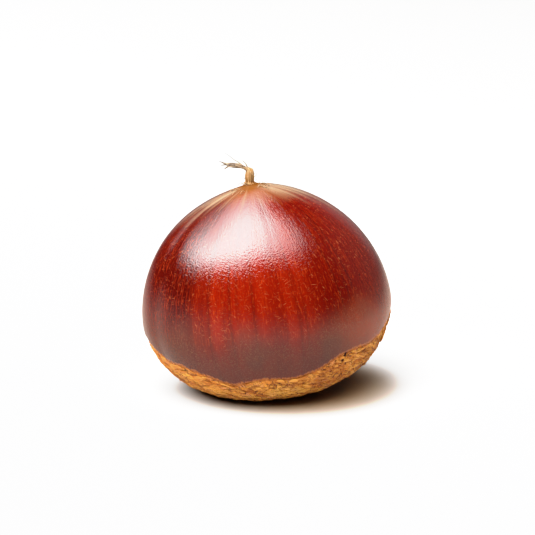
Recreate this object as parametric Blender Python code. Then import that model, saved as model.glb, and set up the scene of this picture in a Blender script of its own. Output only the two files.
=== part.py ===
"""A whole chestnut in its shell, lying on the rough scar of its base.

Metres, +Z up. The origin is on the surface that the nut rests on, under the
middle of its bounding box. The nut is shaped upright on its own axis, then
turned and tilted as it lies, and its base is flat where it touches the surface.
"""
import math

import bmesh
import bpy
import numpy as np
from mathutils import Matrix, Vector, noise

# The nut along its own axis, from the base up to the foot of the neck
NUT_WIDTH = 0.0360
NUT_HEIGHT = 0.0302
FRONT_DEPTH = 0.0142
BACK_DEPTH = 0.0120
WIDEST_HEIGHT = 0.0121

# Exponents of the rounded profiles, where 2 and 2 would make an ellipse
CROWN_RISE = 1.88
CROWN_FULLNESS = 2.035
UNDER_RISE = 1.673
UNDER_FULLNESS = 3.186
PLAN_ROUNDNESS = 1.8

# The crown draws up to a low point round the neck, a little to one side
POINT_LIFT = 0.00068
POINT_REACH = 0.0030
TIP_LEAN = -0.00135

# The crown's right shoulder stands a little higher than its left one
SHOULDER_LIFT = 0.00018
SHOULDER_PLACE = 0.25

# A shallow flute down the shell, beside its left ridge
FLUTE_ANGLE = math.radians(200)
FLUTE_SPREAD = math.radians(6)
FLUTE_DEPTH = 0.00022

# Height of the shell's lower edge above the base, by the angle round the nut in
# degrees: 0 is the right ridge, 180 the left one and 270 the middle of the front
SHELL_EDGE = (
    (0, 0.0114), (14, 0.0101), (27, 0.0084), (48, 0.0073), (70, 0.0057), (96, 0.0061),
    (121, 0.0053), (146, 0.0070), (165, 0.0090), (180, 0.0113), (190, 0.0099), (200, 0.0082),
    (214, 0.0078), (226, 0.0066), (238, 0.0051), (256, 0.0059), (271, 0.0054), (283, 0.0060),
    (294, 0.0075), (306, 0.0080), (314, 0.0077), (326, 0.0082), (336, 0.0095), (348, 0.0108),
)

# The scar starts in a narrow groove under that edge
GROOVE_DEPTH = 0.00013
GROOVE_START = 0.00028
GROOVE_WIDTH = 0.0008

# Relief of the scar: low lumps, and creases drawn out along the shell's edge
SCAR_SINK = 0.00004
LUMP_HEIGHT = 0.00032
LUMP_SIZE = 0.0021
CREASE_DEPTH = 0.00034
CREASE_SIZE = 0.0018
CREASE_STRETCH = 2.4
CREASE_SHARPNESS = 2.6
RELIEF_FADE = 0.0009

# The neck that the shell draws out into, measured up from the tip of the crown
NECK_FOOT_RADIUS = 0.0021
NECK_RADIUS = 0.00062
NECK_TAPER = 0.12
NECK_FLARE_TOP = 0.0005
NECK_TOP = 0.00215
FLARE_CURVE = 3

# How the nut lies, and where the middle of its widest section stands
YAW = math.radians(12)
ROLL = math.radians(-5.2)
CENTRE = Vector((0.00048, 0.00113, 0.01175))

# Steps round the nut and down it. The scar's upper rows have twice the shell's columns,
# and the rows close to the middle of the base have half of them.
SHELL_COLUMNS = 72
SHELL_ROWS = 20
SCAR_ROWS = (10, 3, 3)
FLARE_ROWS = 5
NECK_ROWS = 5

# The dried remains of the flower on the neck, measured from the tip of the crown as the
# nut lies: the points of each fibre's path, and its radius from its root to its end
FIBRES = {
    "bundle": ([(-0.0001, 0.0, 0.00153), (-0.00055, 0.0, 0.00211), (-0.0012, 0.0, 0.00245),
                (-0.0021, 0.0, 0.00259), (-0.0032, 0.0, 0.00267)], (0.00028, 0.00031)),
    "upper_fork": ([(-0.003, 0.0, 0.00273), (-0.0037, 0.0, 0.00295), (-0.0043, 0.0, 0.00321)],
                   (0.00017, 0.00007)),
    "lower_fork": ([(-0.0029, 0.0, 0.00258), (-0.0032, 0.0, 0.00233), (-0.00355, 0.0, 0.00205)],
                   (0.00017, 0.00009)),
    "middle_fork": ([(-0.003, 0.0, 0.00268), (-0.0036, 0.00012, 0.00263),
                     (-0.004, 0.0002, 0.00251)], (0.00014, 0.00007)),
    "long_hair": ([(-0.0007, 0.0, 0.00228), (-0.0015, 0.0001, 0.00299), (-0.0022, 0.0002, 0.00338),
                   (-0.0028, 0.0003, 0.00385), (-0.0035, 0.0003, 0.00433)], (0.00016, 0.00006)),
    "pale_hair": ([(-0.0001, 0.0, 0.00163), (-0.00035, -0.0001, 0.00243), (-0.00065, -0.0001, 0.00298),
                   (-0.001, 0.0, 0.00329)], (0.00018, 0.00007)),
    "spur": ([(0.0, 0.0, 0.00043), (-0.0004, 0.0, 0.00055), (-0.00078, 0.0, 0.00073)],
             (0.0002, 0.00009)),
}

SHELL, SCAR, DRIED = range(3)


def clear_scene():
    for item in list(bpy.data.objects):
        bpy.data.objects.remove(item, do_unlink=True)


def material(name, color, roughness):
    made = bpy.data.materials.new(name)
    made.use_nodes = True
    shader = made.node_tree.nodes["Principled BSDF"]
    shader.inputs["Base Color"].default_value = (*color, 1.0)
    shader.inputs["Roughness"].default_value = roughness
    shader.inputs["Metallic"].default_value = 0.0
    return made


def nut_profile(samples=400):
    """Half section of the nut, from tip to base: share of the full radius, height, length."""
    polar = np.linspace(0, math.pi / 2, samples)
    rise = np.cos(polar)
    crown_share = np.clip(1 - rise ** CROWN_RISE, 0, 1) ** (1 / CROWN_FULLNESS)
    crown_height = WIDEST_HEIGHT + (NUT_HEIGHT - WIDEST_HEIGHT) * rise
    crown_height += POINT_LIFT * np.exp(-crown_share * NUT_WIDTH / 2 / POINT_REACH)
    under_share = np.sin(np.linspace(math.pi / 2, 0, samples))[1:]
    drop = np.clip(1 - under_share ** UNDER_FULLNESS, 0, 1) ** (1 / UNDER_RISE)
    share = np.concatenate([crown_share, under_share])
    height = np.concatenate([crown_height, WIDEST_HEIGHT * (1 - drop)])
    mean_radius = (NUT_WIDTH + FRONT_DEPTH + BACK_DEPTH) / 4
    steps = np.hypot(np.diff(share) * mean_radius, np.diff(height))
    return share, height, np.concatenate([[0], np.cumsum(steps)])


SHARE, HEIGHT, LENGTH = nut_profile()
WIDEST_LENGTH = float(LENGTH[np.argmax(SHARE)])


def on_nut(angle, length):
    """Point of the smooth nut at an angle round it and a length down from its tip."""
    share = float(np.interp(length, LENGTH, SHARE))
    height = float(np.interp(length, LENGTH, HEIGHT))
    away = (angle - FLUTE_ANGLE + math.pi) % (2 * math.pi) - math.pi
    flute = FLUTE_DEPTH * math.exp(-(away / FLUTE_SPREAD) ** 2) * min(1.0, 3 * share)
    radius = NUT_WIDTH / 2 * share - flute
    depth = FRONT_DEPTH if math.sin(angle) < 0 else BACK_DEPTH
    sideways = math.copysign(abs(math.sin(angle)) ** (2 / PLAN_ROUNDNESS), math.sin(angle))
    if length < WIDEST_LENGTH:
        hump = share * (1 - share) ** (1 / SHOULDER_PLACE - 1)
        highest = SHOULDER_PLACE * (1 - SHOULDER_PLACE) ** (1 / SHOULDER_PLACE - 1)
        height += SHOULDER_LIFT * math.cos(angle) * hump / highest
    x = TIP_LEAN * height / NUT_HEIGHT + radius * math.cos(angle)
    y = radius * depth / (NUT_WIDTH / 2) * sideways
    return Vector((x, y, height))


def outward(angle, length, step=0.0001):
    turn = step / (NUT_WIDTH / 2)
    down = on_nut(angle, length + step) - on_nut(angle, length - step)
    round_nut = on_nut(angle + turn, length) - on_nut(angle - turn, length)
    return down.cross(round_nut).normalized()


def edge_length(angle):
    """Length down the nut at which the shell ends and the scar begins."""
    angles, heights = zip(*SHELL_EDGE)
    height = np.interp(math.degrees(angle), angles, heights, period=360)
    return float(np.interp(-height, -HEIGHT, LENGTH))


def scar_relief(point):
    """How far the scar's surface stands out from the smooth nut's at a point."""
    lump = noise.noise(point / LUMP_SIZE)
    drawn_out = Vector((point.x / CREASE_STRETCH, point.y / CREASE_STRETCH, point.z)) / CREASE_SIZE
    crease = max(0.0, 1 - CREASE_SHARPNESS * abs(noise.noise(drawn_out)))
    return LUMP_HEIGHT * lump - CREASE_DEPTH * crease - SCAR_SINK


def shell_point(angle, row):
    crown = SHARE * NUT_WIDTH / 2 + (LENGTH > WIDEST_LENGTH)
    foot = float(np.interp(NECK_FOOT_RADIUS, crown, LENGTH))
    return on_nut(angle, foot + (edge_length(angle) - foot) * row / SHELL_ROWS)


def scar_point(angle, row):
    start = edge_length(angle) + GROOVE_START
    down = (LENGTH[-1] - start) * row / sum(SCAR_ROWS)
    point = on_nut(angle, start + down)
    relief = scar_relief(point) * min(1.0, down / RELIEF_FADE)
    groove = GROOVE_DEPTH * math.exp(-(down / GROOVE_WIDTH) ** 2)
    return point + outward(angle, start + down) * (relief - groove)


def neck_point(angle, row, tip, upright):
    """Point of the flare, for the rows up to FLARE_ROWS, and of the neck above it."""
    foot = shell_point(angle, 0)
    around = Vector((math.cos(angle), math.sin(angle), 0))
    if row <= FLARE_ROWS:
        share = row / FLARE_ROWS
        narrowed = (1 - share) ** FLARE_CURVE
        top = tip + upright * NECK_FLARE_TOP + around * NECK_RADIUS
        point = foot * narrowed + top * (1 - narrowed)
        point.z = foot.z + (top.z - foot.z) * share
        return point
    share = (row - FLARE_ROWS) / (NECK_ROWS + 1)
    radius = NECK_RADIUS * (1 - NECK_TAPER * share) * math.sqrt(1 - share ** 4)
    height = NECK_FLARE_TOP + (NECK_TOP - NECK_FLARE_TOP) * share
    return tip + upright * height + around * radius


def bridge(mesh, upper, lower, slot):
    """Joins two rings with faces; one of them may have twice the other's columns."""
    few, many = sorted((upper, lower), key=len)
    for i, start in enumerate(few):
        end = few[(i + 1) % len(few)]
        if len(many) == len(few):
            corners = [(start, many[i], many[(i + 1) % len(many)], end)]
        else:
            left, middle, right = (many[(2 * i + k) % len(many)] for k in range(3))
            corners = [(start, left, middle), (start, middle, end), (end, middle, right)]
        for corner in corners:
            mesh.faces.new(corner).material_index = slot


def close(mesh, ring, pole, slot):
    for i, vertex in enumerate(ring):
        mesh.faces.new((pole, vertex, ring[(i + 1) % len(ring)])).material_index = slot


def make_nut(materials, pose):
    """The shell with its neck and the scar below, as one closed skin."""
    mesh = bmesh.new()
    tip = Vector((TIP_LEAN, 0, NUT_HEIGHT + POINT_LIFT))
    upright = pose.to_3x3().inverted() @ Vector((0, 0, 1))

    def ring(columns, place, *where):
        angles = [2 * math.pi * i / columns for i in range(columns)]
        return [mesh.verts.new(place(angle, *where)) for angle in angles]

    neck = [ring(SHELL_COLUMNS, neck_point, row, tip, upright)
            for row in range(NECK_ROWS + FLARE_ROWS, 0, -1)]
    shell = [ring(SHELL_COLUMNS, shell_point, row) for row in range(SHELL_ROWS + 1)]
    scar_columns = [SHELL_COLUMNS * 2] * SCAR_ROWS[0] + [SHELL_COLUMNS] * SCAR_ROWS[1]
    scar_columns += [SHELL_COLUMNS // 2] * SCAR_ROWS[2]
    scar = [ring(columns, scar_point, row) for row, columns in enumerate(scar_columns)]
    slots = [DRIED] * len(neck) + [SHELL] * SHELL_ROWS + [SCAR] * len(scar)
    rings = neck + shell + scar
    for upper, lower, slot in zip(rings, rings[1:], slots):
        bridge(mesh, upper, lower, slot)
    close(mesh, neck[0], mesh.verts.new(tip + upright * NECK_TOP), DRIED)
    close(mesh, scar[-1], mesh.verts.new(scar_point(0, sum(SCAR_ROWS))), SCAR)
    bmesh.ops.recalc_face_normals(mesh, faces=mesh.faces)
    bmesh.ops.transform(mesh, matrix=pose, verts=mesh.verts)
    for vertex in mesh.verts:
        vertex.co.z = max(vertex.co.z, 0.0)
    data = bpy.data.meshes.new("chestnut")
    mesh.to_mesh(data)
    mesh.free()
    for each in materials:
        data.materials.append(each)
    data.shade_smooth()
    nut = bpy.data.objects.new("chestnut", data)
    bpy.context.scene.collection.objects.link(nut)
    return nut, pose @ tip


def smooth_path(points, pieces=3):
    """Points along a smooth curve through the given ones."""
    ends = [points[0] * 2 - points[1], *points, points[-1] * 2 - points[-2]]
    path = []
    for before, start, end, after in zip(ends, ends[1:], ends[2:], ends[3:]):
        for k in range(pieces):
            share = k / pieces
            path.append(0.5 * (2 * start + (end - before) * share
                               + (2 * before - 5 * start + 4 * end - after) * share ** 2
                               + (3 * start - before - 3 * end + after) * share ** 3))
    return path + [points[-1]]


def make_fibre(name, points, radii, origin, collection, surface):
    """A tapered round fibre with closed ends."""
    path = smooth_path([Vector(point) for point in points])
    curve = bpy.data.curves.new(name, "CURVE")
    curve.dimensions = "3D"
    curve.bevel_depth = 1.0
    curve.bevel_resolution = 1
    curve.use_fill_caps = True
    spline = curve.splines.new("POLY")
    spline.points.add(len(path) - 1)
    for i, place in enumerate(path):
        share = i / (len(path) - 1)
        spline.points[i].co = (*(origin + place), 1.0)
        spline.points[i].radius = radii[0] + (radii[1] - radii[0]) * share
    curve.materials.append(surface)
    fibre = bpy.data.objects.new(name, curve)
    collection.objects.link(fibre)
    bpy.context.view_layer.update()
    evaluated = fibre.evaluated_get(bpy.context.evaluated_depsgraph_get())
    solid = bpy.data.objects.new(name + "_solid", bpy.data.meshes.new_from_object(evaluated))
    bpy.data.objects.remove(fibre, do_unlink=True)
    collection.objects.link(solid)


def fuse(nut, collection):
    """Joins everything in the collection to the nut, and drops the separate pieces."""
    union = nut.modifiers.new("fuse_fibres", "BOOLEAN")
    union.operation = "UNION"
    union.operand_type = "COLLECTION"
    union.collection = collection
    union.solver = "EXACT"
    bpy.context.view_layer.update()
    evaluated = nut.evaluated_get(bpy.context.evaluated_depsgraph_get())
    joined = bpy.data.meshes.new_from_object(evaluated)
    nut.modifiers.clear()
    nut.data = joined
    for piece in list(collection.objects):
        bpy.data.objects.remove(piece, do_unlink=True)
    bpy.data.collections.remove(collection)


def main():
    clear_scene()
    materials = [
        material("shell", (0.24, 0.035, 0.018), 0.24),
        material("base_scar", (0.58, 0.30, 0.10), 0.85),
        material("dry_tuft", (0.62, 0.42, 0.20), 0.80),
    ]
    pose = (Matrix.Translation(CENTRE) @ Matrix.Rotation(ROLL, 4, "Y") @ Matrix.Rotation(YAW, 4, "Z")
            @ Matrix.Translation((0, 0, -WIDEST_HEIGHT)))
    nut, tip = make_nut(materials, pose)
    fibres = bpy.data.collections.new("fibres")
    bpy.context.scene.collection.children.link(fibres)
    for name, (points, radii) in FIBRES.items():
        make_fibre(name, points, radii, tip, fibres, materials[DRIED])
    fuse(nut, fibres)


main()
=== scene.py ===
"""The looks of a whole chestnut: glossy shell, rough base scar and dry tuft, on a pale floor.

Metres, +Z up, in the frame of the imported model. The nut is shaped on its own upright axis
from the same dimensions as the solid, then laid down as that lies.
"""
import math

import bpy
import numpy as np
from mathutils import Matrix, Vector, noise


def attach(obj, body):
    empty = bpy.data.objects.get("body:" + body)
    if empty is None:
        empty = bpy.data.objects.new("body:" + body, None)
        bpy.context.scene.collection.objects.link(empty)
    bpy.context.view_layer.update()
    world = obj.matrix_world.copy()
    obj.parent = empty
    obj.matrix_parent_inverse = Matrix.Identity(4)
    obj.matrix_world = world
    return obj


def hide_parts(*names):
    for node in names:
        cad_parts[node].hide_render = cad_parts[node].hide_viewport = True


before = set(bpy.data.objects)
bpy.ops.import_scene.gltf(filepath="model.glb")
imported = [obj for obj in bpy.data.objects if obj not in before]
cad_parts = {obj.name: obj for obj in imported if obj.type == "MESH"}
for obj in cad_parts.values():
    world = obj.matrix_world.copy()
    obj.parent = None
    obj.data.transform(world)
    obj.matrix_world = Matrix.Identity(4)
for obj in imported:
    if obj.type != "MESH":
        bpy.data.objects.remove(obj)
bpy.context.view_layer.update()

MM = 0.001

# The nut along its own axis
NUT_WIDTH = 36.0 * MM
NUT_HEIGHT = 30.2 * MM
FRONT_DEPTH = 14.2 * MM
BACK_DEPTH = 12.0 * MM
WIDEST_HEIGHT = 12.1 * MM
CROWN_RISE = 1.88
CROWN_FULLNESS = 2.035
UNDER_RISE = 1.673
UNDER_FULLNESS = 3.186
PLAN_ROUNDNESS = 1.8
POINT_LIFT = 0.68 * MM
POINT_REACH = 3.0 * MM
TIP_LEAN = -1.35 * MM
SHOULDER_LIFT = 0.18 * MM
SHOULDER_PLACE = 0.25
FLUTE_ANGLE = math.radians(200)
FLUTE_SPREAD = math.radians(6)
FLUTE_DEPTH = 0.22 * MM

# Height of the shell's lower edge in mm, by the angle round the nut in degrees
SHELL_EDGE = (
    (0, 11.4), (14, 10.1), (27, 8.4), (48, 7.3), (70, 5.7), (96, 6.1), (121, 5.3), (146, 7.0),
    (165, 9.0), (180, 11.3), (190, 9.9), (200, 8.2), (214, 7.8), (226, 6.6), (238, 5.1),
    (256, 5.9), (271, 5.4), (283, 6.0), (294, 7.5), (306, 8.0), (314, 7.7), (326, 8.2),
    (336, 9.5), (348, 10.8),
)

# The scar's groove and relief
GROOVE_DEPTH = 0.13 * MM
GROOVE_START = 0.28 * MM
GROOVE_WIDTH = 0.8 * MM
SCAR_SINK = 0.04 * MM
LUMP_HEIGHT = 0.12 * MM
LUMP_SIZE = 2.1 * MM
CREASE_DEPTH = 0.08 * MM
CREASE_SIZE = 1.8 * MM
CREASE_STRETCH = 2.4
CREASE_SHARPNESS = 2.6
RELIEF_FADE = 0.9 * MM

# The neck
NECK_FOOT_RADIUS = 2.1 * MM
NECK_RADIUS = 0.57 * MM
NECK_TAPER = 0.12
NECK_FLARE_TOP = 0.5 * MM
NECK_TOP = 2.15 * MM
FLARE_CURVE = 3
NECK_WRINKLES = (
    # how many go round, depth as a share of the radius, radians that they wind up the neck
    (7, 0.09, 2), (13, 0.06, -3),
)

# How the nut lies
YAW = math.radians(12)
ROLL = math.radians(-5.2)
CENTRE = Vector((0.48, 1.13, 11.75)) * MM
POSE = (Matrix.Translation(CENTRE) @ Matrix.Rotation(ROLL, 4, "Y") @ Matrix.Rotation(YAW, 4, "Z")
        @ Matrix.Translation((0, 0, -WIDEST_HEIGHT)))
TIP = Vector((TIP_LEAN, 0, NUT_HEIGHT + POINT_LIFT))
UPRIGHT = POSE.to_3x3().inverted() @ Vector((0, 0, 1))

# The photograph's frame: its width in pixels, the camera, and the pixel at which the middle
# of the nut's widest section shows
FRAME_WIDTH = 535
SENSOR_WIDTH = 36.0
FOCAL_PIXELS = 2950.8
CAMERA_DISTANCE = 0.42
CAMERA_ELEVATION = math.radians(17)
CENTRE_PIXEL = (271.1, 308.6)

# The softbox: corners on a level plane as shares of its height above the floor, how bright
# its front is, and what shares of that its left, right and back ends have. From each end it
# brightens over the given shares of its height
SOFTBOX_HEIGHT = 0.60
SOFTBOX_CORNERS = (
    (-1.80, 0.55), (-1.75, -0.50), (-1.4, -0.78), (-1.0, -0.98), (-0.68, -1.08), (-0.40, -1.08),
    (-0.10, -0.98), (0.17, -0.88), (0.58, -0.82), (0.76, -0.58), (0.76, -0.24), (0.42, -0.03),
    (0.10, 0.08), (0.02, 0.62), (-0.25, 0.80), (-1.20, 0.78), (-1.90, 0.80),
)
SOFTBOX_RADIANCE = 23.0
SOFTBOX_LEFT = 0.40
SOFTBOX_RIGHT = 0.32
SOFTBOX_BACK = 0.06
SOFTBOX_FROM_LEFT = (-1.9, -1.2)
SOFTBOX_FROM_RIGHT = (0.55, -0.1)
SOFTBOX_FROM_BACK = (0.93, -0.27)

# Beside its ridge the softbox dims sooner towards the back: to the left by the first slope,
# as far as its end, and to the right by both slopes together
SOFTBOX_RIDGE = -0.2
SOFTBOX_SLOPES = (-0.85, 1.25)
SOFTBOX_SLOPE_END = -0.45

# The dim walls of light: place, size, brightness, the point faced, and colour
LIGHT_WALLS = {
    "back_wall": ((0.1, 0.9, 0.33), (1.2, 0.66), 0.40, (0.1, 0.0, 0.33), (1.0, 1.0, 1.0)),
    "side_wall": ((0.9, 0.35, 0.4), (0.95, 0.8), 0.34, (0.0, 0.0, 0.4), (1.0, 0.62, 0.50)),
}

# The world's brightness round the nut, and as the camera sees it
WORLD_DARK = 0.03
WORLD_PALE = 2.0

# What brightness each brightness shows as, up to the brightest, which shows as white
TONE_CURVE = ((0.3, 0.3), (0.6, 0.6), (0.82, 0.83), (1.2, 0.95), (1.6, 1.0))
BRIGHTEST = 2.0


def in_scene(name, data):
    """An object of a mesh, a light or a camera, linked to the scene."""
    made = bpy.data.objects.new(name, data)
    bpy.context.scene.collection.objects.link(made)
    return made


class Number:
    """A number in a shader. Python's operators on it add Math nodes."""

    def __init__(self, finish, socket):
        self.finish = finish
        self.socket = socket

    def math(self, operation, *others, clamp=False):
        values = dict(enumerate((self, *others)))
        settings = {"operation": operation, "use_clamp": clamp}
        return self.finish.number("ShaderNodeMath", settings, values)

    def __add__(self, other):
        return self.math("ADD", other)

    __radd__ = __add__

    def __mul__(self, other):
        return self.math("MULTIPLY", other)

    __rmul__ = __mul__

    def __sub__(self, other):
        return self.math("SUBTRACT", other)

    def __rsub__(self, other):
        return self * -1 + other

    def __truediv__(self, other):
        return self.math("DIVIDE", other)

    def __pow__(self, other):
        return self.math("POWER", other)

    def clamped(self):
        return self.math("ADD", 0.0, clamp=True)

    def ramp(self, low, high):
        """0 below low and 1 above high, smooth between them; low may be the larger."""
        settings = {"interpolation_type": "SMOOTHSTEP"}
        values = {"Value": self, "From Min": low, "From Max": high}
        return self.finish.number("ShaderNodeMapRange", settings, values)


class Tree:
    """A node tree under construction."""

    def node(self, kind, settings=None, values=None):
        made = self.tree.nodes.new(kind)
        for name, setting in (settings or {}).items():
            setattr(made, name, setting)
        for name, value in (values or {}).items():
            self.feed(made.inputs[name], value)
        return made

    def feed(self, socket, value):
        value = getattr(value, "socket", value)
        if isinstance(value, bpy.types.NodeSocket):
            self.tree.links.new(value, socket)
        else:
            socket.default_value = value

    def number(self, kind, settings=None, values=None, output=0):
        return Number(self, self.node(kind, settings, values).outputs[output])

    def axes(self, vector, names="XYZ"):
        """The named numbers of a vector."""
        parts = self.node("ShaderNodeSeparateXYZ", None, {"Vector": vector})
        return [Number(self, parts.outputs[name]) for name in names]


class Growth(Tree):
    """Geometry Nodes that cover a surface with many small shapes. sizes are its named inputs."""

    def __init__(self, name, sizes):
        self.tree = bpy.data.node_groups.new(name, "GeometryNodeTree")
        sockets = self.tree.interface
        sockets.new_socket("Surface", in_out="INPUT", socket_type="NodeSocketGeometry")
        self.sizes = dict(sizes)
        self.keys = {}
        for title in sizes:
            socket = sockets.new_socket(title, in_out="INPUT", socket_type="NodeSocketFloat")
            self.keys[title] = socket.identifier
        sockets.new_socket("Grown", in_out="OUTPUT", socket_type="NodeSocketGeometry")
        self.given = self.tree.nodes.new("NodeGroupInput").outputs

    def size(self, title):
        return Number(self, self.given[title])

    def random(self, low, high, seed):
        """A number between low and high, drawn for each point."""
        values = {2: low, 3: high, "Seed": seed}
        return self.number("FunctionNodeRandomValue", {"data_type": "FLOAT"}, values, 1)

    def vector(self, x, y, z):
        return self.node("ShaderNodeCombineXYZ", None, {"X": x, "Y": y, "Z": z}).outputs[0]

    def zone(self):
        """The three numbers that the surface stores under that name."""
        stored = self.node("GeometryNodeInputNamedAttribute", {"data_type": "FLOAT_VECTOR"},
                           {"Name": "zone"})
        return self.axes(stored.outputs[0])

    def scatter(self, density, here, seed):
        """Points over the surface where the number here is above a half, and its normal there."""
        values = {"Mesh": self.given["Surface"], "Selection": here.math("GREATER_THAN", 0.5),
                  "Density": density, "Seed": seed}
        made = self.node("GeometryNodeDistributePointsOnFaces", None, values).outputs
        return made["Points"], made["Normal"]

    def turned(self, along, up):
        """A turn that lays Z along up and X as near as it can to the other direction."""
        turn = self.node("FunctionNodeAlignRotationToVector", {"axis": "Z"}, {"Vector": up}).outputs[0]
        settings = {"axis": "X", "pivot_axis": "Z"}
        return self.node("FunctionNodeAlignRotationToVector", settings,
                         {"Rotation": turn, "Vector": along}).outputs[0]

    def place(self, points, shape, turn, scale, tint):
        """Puts the shape on the points, with a number stored for each copy, all one mesh."""
        values = {"Points": points, "Instance": shape, "Rotation": turn, "Scale": scale}
        copies = self.node("GeometryNodeInstanceOnPoints", None, values).outputs[0]
        copies = self.node("GeometryNodeStoreNamedAttribute",
                           {"domain": "INSTANCE", "data_type": "FLOAT"},
                           {"Geometry": copies, "Name": "tint", "Value": tint}).outputs[0]
        return self.node("GeometryNodeRealizeInstances", None, {0: copies}).outputs[0]

    def grown(self, name, surface, shapes, finish):
        """The piece that the tree makes of a surface, with its finish."""
        dressed = self.node("GeometryNodeSetMaterial", None, {0: shapes, "Material": finish}).outputs[0]
        self.tree.links.new(dressed, self.tree.nodes.new("NodeGroupOutput").inputs[0])
        modifier = surface.modifiers.new(name, "NODES")
        modifier.node_group = self.tree
        for title, value in self.sizes.items():
            modifier[self.keys[title]] = value
        evaluated = surface.evaluated_get(bpy.context.evaluated_depsgraph_get())
        mesh = bpy.data.meshes.new_from_object(evaluated)
        surface.modifiers.remove(modifier)
        return in_scene(name, mesh)


class Finish(Tree):
    """A material under construction, with its Principled shader."""

    def __init__(self, name):
        self.material = bpy.data.materials.new(name)
        self.material.use_nodes = True
        self.tree = self.material.node_tree
        self.shader = self.tree.nodes["Principled BSDF"]

    def attribute(self, name):
        """A piece's own stored values: their vector, and the three numbers in it."""
        vector = self.node("ShaderNodeAttribute", {"attribute_name": name}).outputs["Vector"]
        return vector, self.axes(vector)

    def place(self):
        return self.node("ShaderNodeTexCoord").outputs["Object"]

    def stretched(self, vector, sizes):
        """The vector measured in steps of the given sizes along its three directions."""
        values = {0: vector, 1: tuple(1 / size for size in sizes)}
        return self.node("ShaderNodeVectorMath", {"operation": "MULTIPLY"}, values).outputs[0]

    def noise(self, vector, sizes, detail=2.0, roughness=0.5):
        """Soft noise from 0 to 1 with a mean of a half, its lumps of the given sizes."""
        values = {"Vector": self.stretched(vector, sizes), "Scale": 1.0, "Detail": detail,
                  "Roughness": roughness}
        return self.number("ShaderNodeTexNoise", None, values)

    def mix(self, share, first, second):
        settings = {"data_type": "RGBA", "clamp_factor": True}
        colors = {6: first, 7: second}
        values = {0: share}
        for place, color in colors.items():
            values[place] = (*color, 1.0) if isinstance(color, tuple) else color
        return self.node("ShaderNodeMix", settings, values).outputs[2]

    def bump(self, height, distance, onto=None):
        values = {"Height": height, "Distance": distance, "Strength": 1.0}
        if onto is not None:
            values["Normal"] = onto
        return self.node("ShaderNodeBump", None, values).outputs[0]

    def matt(self, share, color):
        """Takes the gloss off that share of the surface, which shows the plain colour."""
        plain = self.node("ShaderNodeBsdfPrincipled", None,
                          {"Base Color": color, "Roughness": 1.0, "IOR": 1.05}).outputs[0]
        either = self.node("ShaderNodeMixShader", None, {0: share, 1: self.shader.outputs[0], 2: plain})
        self.tree.links.new(either.outputs[0], self.tree.nodes["Material Output"].inputs["Surface"])

    def finish(self, **values):
        """Sets the shader's sockets; a socket's name is written with _ for its spaces."""
        for name, value in values.items():
            self.feed(self.shader.inputs[name.replace("_", " ")], value)
        return self.material


def nut_profile(samples=1200):
    """Half section of the nut, from tip to base: share of the full radius, height, length."""
    rise = np.cos(np.linspace(0, math.pi / 2, samples))
    crown_share = np.clip(1 - rise ** CROWN_RISE, 0, 1) ** (1 / CROWN_FULLNESS)
    crown_height = WIDEST_HEIGHT + (NUT_HEIGHT - WIDEST_HEIGHT) * rise
    crown_height += POINT_LIFT * np.exp(-crown_share * NUT_WIDTH / 2 / POINT_REACH)
    under_share = np.sin(np.linspace(math.pi / 2, 0, samples))[1:]
    drop = np.clip(1 - under_share ** UNDER_FULLNESS, 0, 1) ** (1 / UNDER_RISE)
    share = np.concatenate([crown_share, under_share])
    height = np.concatenate([crown_height, WIDEST_HEIGHT * (1 - drop)])
    mean_radius = (NUT_WIDTH + FRONT_DEPTH + BACK_DEPTH) / 4
    steps = np.hypot(np.diff(share) * mean_radius, np.diff(height))
    return share, height, np.concatenate([[0], np.cumsum(steps)])


SHARE, HEIGHT, LENGTH = nut_profile()
WIDEST_LENGTH = float(LENGTH[np.argmax(SHARE)])
CROWN_RADIUS = SHARE * NUT_WIDTH / 2 + (LENGTH > WIDEST_LENGTH)
FOOT_LENGTH = float(np.interp(NECK_FOOT_RADIUS, CROWN_RADIUS, LENGTH))
BASE_LENGTH = float(LENGTH[-1])


def turned_from(angle, other):
    """The angle from another one, from minus to plus half a turn."""
    return (angle - other + math.pi) % (2 * math.pi) - math.pi


def on_nut(angle, length):
    """Points of the smooth nut at angles round it and lengths down from its tip."""
    angle, length = np.broadcast_arrays(angle, length)
    share = np.interp(length, LENGTH, SHARE)
    height = np.interp(length, LENGTH, HEIGHT)
    away = turned_from(angle, FLUTE_ANGLE)
    flute = FLUTE_DEPTH * np.exp(-(away / FLUTE_SPREAD) ** 2) * np.minimum(1.0, 3 * share)
    radius = NUT_WIDTH / 2 * share - flute
    depth = np.where(np.sin(angle) < 0, FRONT_DEPTH, BACK_DEPTH)
    sideways = np.sign(np.sin(angle)) * np.abs(np.sin(angle)) ** (2 / PLAN_ROUNDNESS)
    hump = share * (1 - share) ** (1 / SHOULDER_PLACE - 1)
    highest = SHOULDER_PLACE * (1 - SHOULDER_PLACE) ** (1 / SHOULDER_PLACE - 1)
    lift = SHOULDER_LIFT * np.cos(angle) * hump / highest
    height = height + np.where(length < WIDEST_LENGTH, lift, 0)
    x = TIP_LEAN * height / NUT_HEIGHT + radius * np.cos(angle)
    y = radius * depth / (NUT_WIDTH / 2) * sideways
    return np.stack([x, y, height], -1)


def outward(angle, length):
    """The direction straight out of the smooth nut."""
    step = 0.1 * MM
    turn = step / (NUT_WIDTH / 2)
    down = on_nut(angle, length + step) - on_nut(angle, length - step)
    round_nut = on_nut(angle + turn, length) - on_nut(angle - turn, length)
    across = np.cross(down, round_nut)
    return across / np.linalg.norm(across, axis=-1, keepdims=True)


# How the shell's lower edge is rounded off and wavers
EDGE_ROUNDING = np.radians(np.linspace(-1.4, 1.4, 5))
EDGE_WAVER = 0.14 * MM
EDGE_WAVER_SIZE = 0.7 * MM


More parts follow.
